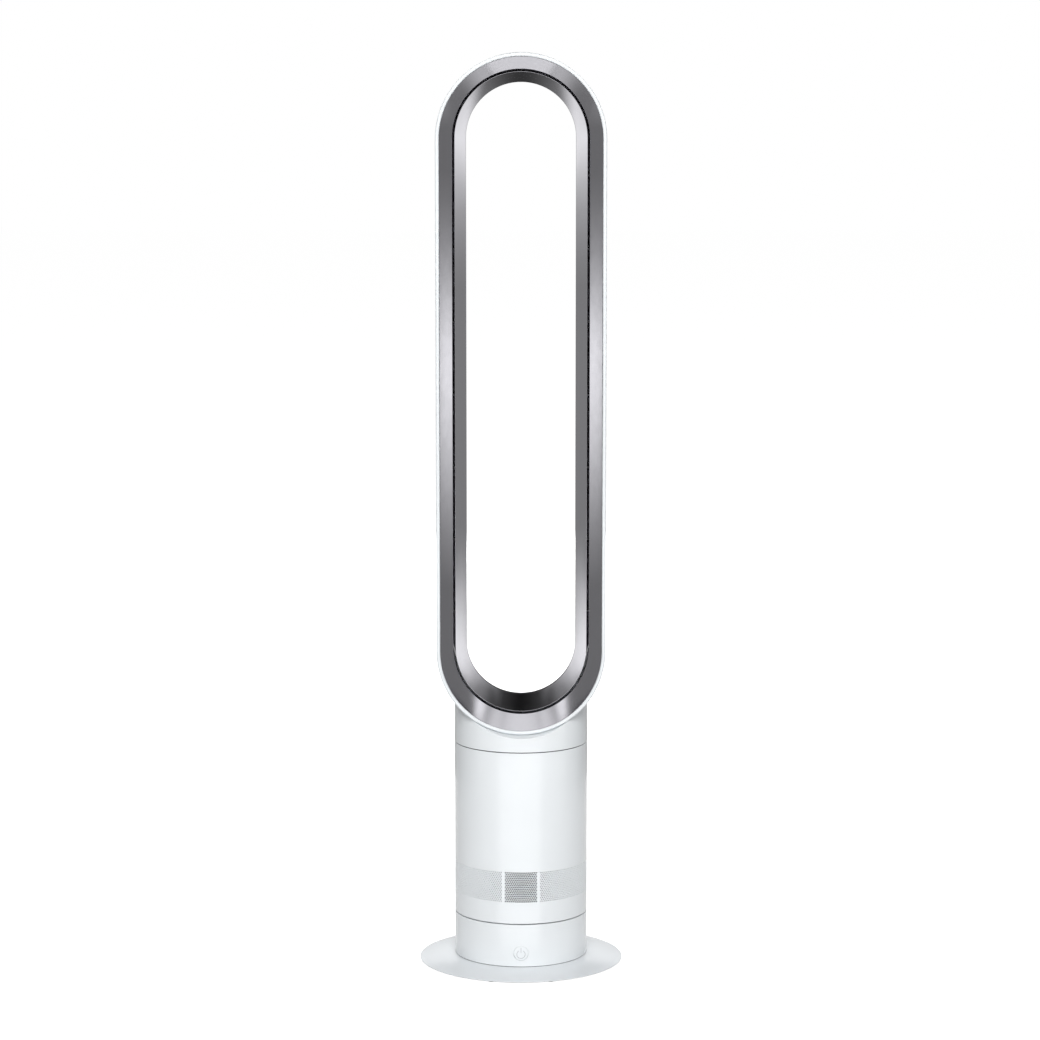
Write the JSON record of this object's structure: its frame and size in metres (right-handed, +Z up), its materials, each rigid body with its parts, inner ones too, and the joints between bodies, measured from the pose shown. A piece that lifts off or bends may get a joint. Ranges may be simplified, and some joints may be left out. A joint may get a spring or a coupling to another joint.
{
  "type": "bladeless tower fan",
  "caption": "Tall bladeless tower fan: a long air loop with an inner slot on a round body that oscillates on a base with a thin round foot, with its motor, impeller and drive inside.",
  "frame": {"origin": "centre of the round foot, on the floor", "axes": "+Z up, the front of the fan and its button face -Y, the air leaves along -Y"},
  "size_m": [0.226, 0.226, 1.007],
  "materials": {
    "white_gloss": "glossy moulded white",
    "foot_gloss": "glossy pale grey",
    "silver_paint": "metallic silver paint on plastic",
    "black_plastic": "matte black",
    "grey_plastic": "matte grey",
    "rubber": "matt dark grey",
    "foam": "open-cell foam",
    "steel": "plain steel",
    "magnet": "dark sintered magnet",
    "board": "green circuit board",
    "capacitor": "sleeved can"
  },
  "bodies": {
    "base": {"base_disc": "foot_gloss", "base_underplate": "grey_plastic", "base_screws": "steel", "base_feet": "rubber", "base_shell": "white_gloss", "glide_ring": "grey_plastic", "cord_gland": "rubber", "control_board": "board", "tact_switch": "grey_plastic", "ir_receiver": "grey_plastic", "oscillation_motor": "steel", "motor_screws": "steel"},
    "power_button": {"power_button": "white_gloss", "switch_plunger": "grey_plastic"},
    "drive_pinion": {"drive_pinion": "grey_plastic", "pinion_shaft": "steel"},
    "tower": {"turntable": "grey_plastic", "spindle_gear": "grey_plastic", "spindle_screws": "steel", "drive_board": "board", "board_capacitors": "capacitor", "electronics_cover": "black_plastic", "inlet_foam": "foam", "body_casing": "white_gloss", "display_panel": "black_plastic", "display_board": "board", "inlet_bellmouth": "black_plastic", "impeller_housing": "black_plastic", "support_ring": "black_plastic", "isolation_mounts": "rubber", "casing_foam": "foam", "motor_stator": "steel", "motor_bucket": "black_plastic", "motor_cap": "black_plastic", "motor_bearings": "steel", "diffuser_vanes": "black_plastic", "duct_gasket": "rubber", "neck_duct": "grey_plastic", "collar": "white_gloss", "loop_casing": "white_gloss", "loop_inner_wall": "silver_paint", "loop_diffuser": "silver_paint", "slot_spacers": "black_plastic"},
    "impeller": {"impeller": "black_plastic", "rotor_shaft": "steel", "rotor_magnet": "magnet"}
  },
  "joints": [
    {"name": "oscillation", "type": "hinge", "parent": "base", "child": "tower", "pos_m": [0, 0, 0.0559], "axis": [0, 0, 1], "range_deg": [-35, 35]},
    {"name": "pinion_spin", "type": "hinge", "parent": "base", "child": "drive_pinion", "pos_m": [0.039, 0, 0.03], "axis": [0, 0, 1], "range_deg": [-120, 120]},
    {"name": "impeller_spin", "type": "hinge", "parent": "tower", "child": "impeller", "pos_m": [0, 0, 0.15], "axis": [0, 0, 1], "continuous": true},
    {"name": "power_button_press", "type": "slide", "parent": "base", "child": "power_button", "axis": [0, 1, 0], "range_m": [0, 0.0006], "stiffness_N_per_m": 1500, "springref_m": -0.0003}
  ],
  "couplings": [
    {"joint": "pinion_spin", "follows": "oscillation", "ratio": -3.3333}
  ]
}
